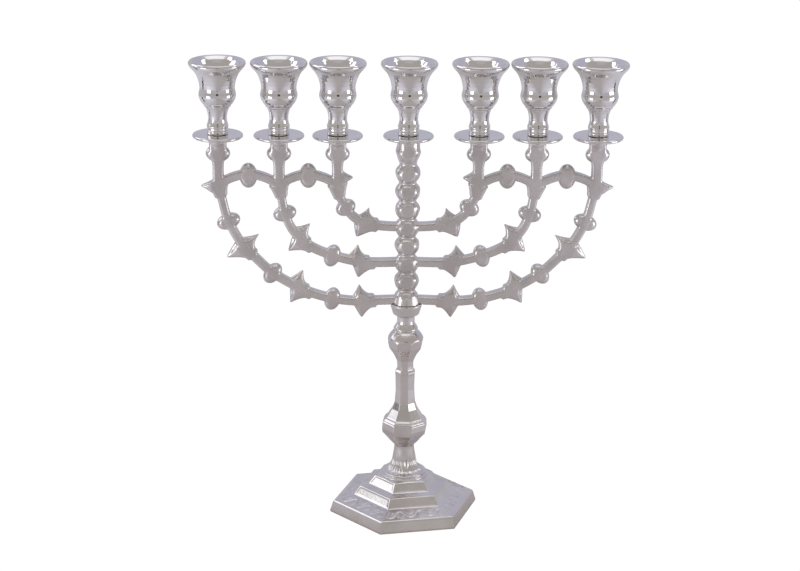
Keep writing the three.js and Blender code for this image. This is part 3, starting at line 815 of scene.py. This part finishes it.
# What the metal reflects: the floor, the room in front and behind from low to high, and a dark patch.
FLOOR_MIDDLE = (0.66, 0.62, 0.6)
FLOOR_SIDES = (0.9, 0.89, 0.93)
FRONT_LOW = (0.55, 0.53, 0.52)
FRONT_MIDDLE = (0.47, 0.45, 0.43)
FRONT_HIGH = (0.48, 0.45, 0.43)
REAR_LOW = (0.56, 0.56, 0.59)
REAR_MIDDLE = (0.54, 0.54, 0.635)
OVERHEAD = (0.78, 0.78, 0.83)
DARK_PATCH = (0.06, 0.055, 0.05)
PHOTOGRAPHER = (0.03, -0.95, 0.31)  # the way to the patch

# Lights: name, place, the point it faces, width and height in metres, and power in watts.
AT_BRANCHES = (0, 0, 0.2)
AT_FOOT = (0, 0, 0.05)
LIGHTS = [
    ("left_card", (-0.76, -0.49, 0.16), AT_BRANCHES, (0.34, 0.26), 0.75),
    ("right_card", (0.87, -0.23, 0.16), AT_BRANCHES, (0.46, 0.26), 0.85),
    ("left_softbox", (-1.27, 0.3, 0.78), AT_FOOT, (0.8, 0.6), 1.75),
    ("left_high", (-0.87, 0.08, 1.19), AT_FOOT, (0.36, 0.36), 0.9),
    ("right_high", (0.87, 0.08, 1.19), AT_FOOT, (0.36, 0.36), 0.9),
    ("top_softbox", (0, -0.1, 1.5), AT_FOOT, (1.2, 0.8), 1.3),
]


def colour_ramp(nodes, stops):
    ramp = nodes.new("ShaderNodeValToRGB")
    elements = ramp.color_ramp.elements
    while len(elements) < len(stops):
        elements.new(0.5)
    for element, (position, colour) in zip(elements, stops):
        element.position = position
        element.color = (*colour, 1)
    return ramp


def build_floor():
    mesh = bpy.data.meshes.new("floor")
    half, level = 3.0, -0.0002
    corners = [(-half, -half, level), (half, -half, level), (half, half, level), (-half, half, level)]
    mesh.from_pydata(corners, [], [(0, 1, 2, 3)])
    floor = bpy.data.objects.new("floor", mesh)
    bpy.context.scene.collection.objects.link(floor)
    # The floor looks white, and what the metal reflects of it is a warm grey.
    material = bpy.data.materials.new("floor_white")
    material.use_nodes = True
    nodes, links = material.node_tree.nodes, material.node_tree.links
    shader = nodes["Principled BSDF"]
    place = nodes.new("ShaderNodeTexCoord")
    split = nodes.new("ShaderNodeSeparateXYZ")
    aside = nodes.new("ShaderNodeMath")
    aside.operation = "ABSOLUTE"
    tone = colour_ramp(nodes, [(0, FLOOR_MIDDLE), (0.1, FLOOR_MIDDLE), (0.3, FLOOR_SIDES)])
    links.new(place.outputs["Object"], split.inputs["Vector"])
    links.new(split.outputs["X"], aside.inputs[0])
    links.new(aside.outputs["Value"], tone.inputs["Fac"])
    links.new(tone.outputs["Color"], shader.inputs["Base Color"])
    shader.inputs["Roughness"].default_value = 0.9
    white = nodes.new("ShaderNodeEmission")
    white.inputs["Strength"].default_value = WHITE_STRENGTH
    mix = nodes.new("ShaderNodeMixShader")
    path = nodes.new("ShaderNodeLightPath")
    links.new(path.outputs["Is Camera Ray"], mix.inputs["Fac"])
    links.new(shader.outputs["BSDF"], mix.inputs[1])
    links.new(white.outputs["Emission"], mix.inputs[2])
    links.new(mix.outputs["Shader"], nodes["Material Output"].inputs["Surface"])
    mesh.materials.append(material)


def build_light(name, at, look_at, size, power):
    data = bpy.data.lights.new(name, "AREA")
    data.shape = "RECTANGLE"
    data.size, data.size_y = size
    data.energy = power
    light = bpy.data.objects.new(name, data)
    light.location = at
    light.rotation_euler = (Vector(look_at) - Vector(at)).to_track_quat("-Z", "Y").to_euler()
    bpy.context.scene.collection.objects.link(light)


def build_flag(name, x):
    """A dark board standing beside the object, out of the picture, that the polished metal reflects."""
    mesh = bpy.data.meshes.new(name)
    near, far, top = 0.05, 0.12, 0.2
    mesh.from_pydata([(x, near, 0), (x, far, 0), (x, far, top), (x, near, top)], [], [(0, 1, 2, 3)])
    flag = bpy.data.objects.new(name, mesh)
    flag.visible_camera = False
    bpy.context.scene.collection.objects.link(flag)
    material = bpy.data.materials.new(name)
    material.use_nodes = True
    material.node_tree.nodes["Principled BSDF"].inputs["Base Color"].default_value = (0.03, 0.03, 0.03, 1)
    mesh.materials.append(material)


def build_world():
    """White behind the object, to the camera. What the metal reflects is a warm grey room in front and a
    cooler, paler one behind and above."""
    world = bpy.data.worlds.new("studio")
    bpy.context.scene.world = world
    world.use_nodes = True
    nodes, links = world.node_tree.nodes, world.node_tree.links
    direction = nodes.new("ShaderNodeTexCoord")
    split = nodes.new("ShaderNodeSeparateXYZ")
    links.new(direction.outputs["Generated"], split.inputs["Vector"])

    front_stops = [(0, FRONT_LOW), (0.45, FRONT_MIDDLE), (0.78, FRONT_HIGH), (0.95, OVERHEAD)]
    rear_stops = [(0, REAR_LOW), (0.25, REAR_MIDDLE), (0.75, REAR_MIDDLE), (0.95, OVERHEAD)]
    front = colour_ramp(nodes, front_stops)
    rear = colour_ramp(nodes, rear_stops)
    for ramp in (front, rear):
        links.new(split.outputs["Z"], ramp.inputs["Fac"])

    # A small dark patch in front, where the photographer stands.
    toward = nodes.new("ShaderNodeVectorMath")
    toward.operation = "DOT_PRODUCT"
    toward.inputs[1].default_value = PHOTOGRAPHER
    links.new(direction.outputs["Generated"], toward.inputs[0])
    patch = nodes.new("ShaderNodeMapRange")
    patch.inputs["From Min"].default_value = math.cos(math.radians(9))
    patch.inputs["From Max"].default_value = math.cos(math.radians(6))
    links.new(toward.outputs["Value"], patch.inputs["Value"])
    room = nodes.new("ShaderNodeMix")
    room.data_type = "RGBA"
    room.inputs["B"].default_value = (*DARK_PATCH, 1)
    links.new(patch.outputs["Result"], room.inputs["Factor"])
    links.new(front.outputs["Color"], room.inputs["A"])

    side = nodes.new("ShaderNodeMapRange")
    side.inputs["From Min"].default_value = -0.15
    side.inputs["From Max"].default_value = 0.25
    links.new(split.outputs["Y"], side.inputs["Value"])
    both = nodes.new("ShaderNodeMix")
    both.data_type = "RGBA"
    links.new(side.outputs["Result"], both.inputs["Factor"])
    links.new(room.outputs["Result"], both.inputs["A"])
    links.new(rear.outputs["Color"], both.inputs["B"])

    reflected = nodes["Background"]
    links.new(both.outputs["Result"], reflected.inputs["Color"])
    seen = nodes.new("ShaderNodeBackground")
    seen.inputs["Color"].default_value = (1, 1, 1, 1)
    seen.inputs["Strength"].default_value = WHITE_STRENGTH
    mix = nodes.new("ShaderNodeMixShader")
    path = nodes.new("ShaderNodeLightPath")
    links.new(path.outputs["Is Camera Ray"], mix.inputs["Fac"])
    links.new(reflected.outputs["Background"], mix.inputs[1])
    links.new(seen.outputs["Background"], mix.inputs[2])
    links.new(mix.outputs["Shader"], nodes["World Output"].inputs["Surface"])


def build_camera():
    azimuth, elevation, roll = math.radians(-2.022), math.radians(18.218), math.radians(0.77)
    target, distance = Vector((-4.1, 0, 153.17)) * MM, 1460.4 * MM
    back = Vector(
        (
            math.sin(azimuth) * math.cos(elevation),
            -math.cos(azimuth) * math.cos(elevation),
            math.sin(elevation),
        )
    )
    right = (-back).cross(Vector((0, 0, 1))).normalized()
    up = right.cross(-back)
    tilted_right = right * math.cos(roll) + up * math.sin(roll)
    tilted_up = up * math.cos(roll) - right * math.sin(roll)
    data = bpy.data.cameras.new("camera")
    data.sensor_width = 36
    data.lens = 102.7
    camera = bpy.data.objects.new("camera", data)
    turn = Matrix((tilted_right, tilted_up, back)).transposed().to_4x4()
    camera.matrix_world = Matrix.Translation(target + back * distance) @ turn
    bpy.context.scene.collection.objects.link(camera)
    bpy.context.scene.camera = camera


# ------------------------------------------------------------------ the whole

build_camera()
bpy.context.scene.view_settings.view_transform = "Standard"  # so that the white floor comes out white
build_world()
build_floor()
for light in LIGHTS:
    build_light(*light)
build_flag("left_flag", -0.46)
build_flag("right_flag", 0.5)

build_base()
build_stem()
build_shaft()
build_branches()
for cup in CUPS:
    build_pan(cup)
    build_cup(cup)
    build_stud(cup)
build_rod()
build_washer()
build_nut()
